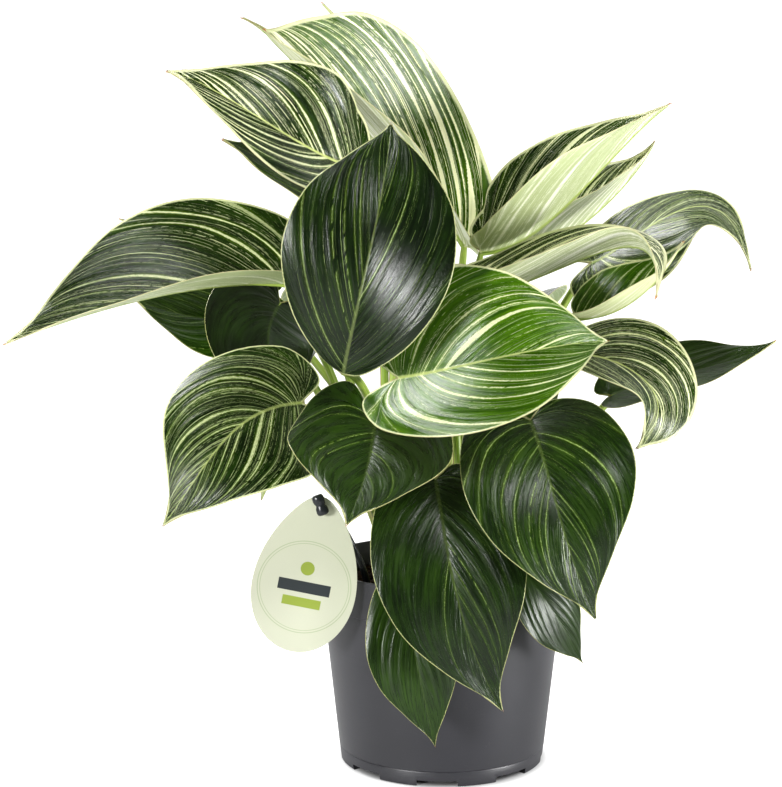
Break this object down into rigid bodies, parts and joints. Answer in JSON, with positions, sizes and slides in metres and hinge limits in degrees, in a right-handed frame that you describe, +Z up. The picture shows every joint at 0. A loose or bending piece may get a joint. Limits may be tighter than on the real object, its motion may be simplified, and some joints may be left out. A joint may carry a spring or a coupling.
{
  "type": "potted birkin philodendron",
  "caption": "Leafy house plant with heart-shaped, cream-streaked leaves on slender stalks, rooted in soil in a round tapered nursery pot with a hang tag on a stake.",
  "frame": {"origin": "middle of the bounding box on the ground the pot stands on", "axes": "+Z up, -Y towards a viewer of the plant's front, +X to that viewer's right"},
  "size_m": [0.4424, 0.3396, 0.4565],
  "materials": {
    "pot": "satin charcoal, moulded",
    "soil": "moist dark potting mix",
    "stem": "green-brown stem",
    "leaf": "glossy dark green leaf with cream streaks",
    "tag": "smooth off-white card",
    "stake": "glossy near-black"
  },
  "bodies": {
    "root": {"pot": "pot", "soil": "soil", "stem_left": "stem", "stem_front": "stem", "stem_back": "stem", "stem_right": "stem", "leaf_top": "leaf", "leaf_upper_left": "leaf", "leaf_front_upright": "leaf", "leaf_left_arch": "leaf", "leaf_left_round": "leaf", "leaf_front_heart": "leaf", "leaf_front_bright": "leaf", "leaf_right_heart": "leaf", "leaf_low_pointed": "leaf", "leaf_low_plain": "leaf", "leaf_low_right": "leaf", "leaf_right_drooping": "leaf", "leaf_upper_right": "leaf", "leaf_behind_upper_right": "leaf", "leaf_right_arch_near": "leaf", "leaf_right_arch_far": "leaf", "leaf_young_curled": "leaf", "leaf_far_right": "leaf", "leaf_between": "leaf", "leaf_left_behind": "leaf", "leaf_left_inner": "leaf", "leaf_under_upper_left": "leaf", "leaf_behind_left_arch": "leaf", "leaf_rolled_left": "leaf", "leaf_rolled_top": "leaf", "leaf_back_centre": "leaf", "leaf_back_left": "leaf", "leaf_back_right_low": "leaf", "leaf_back_left_low": "leaf", "leaf_back_low": "leaf", "hang_tag": "tag", "tag_stake": "stake"}
  },
  "joints": []
}
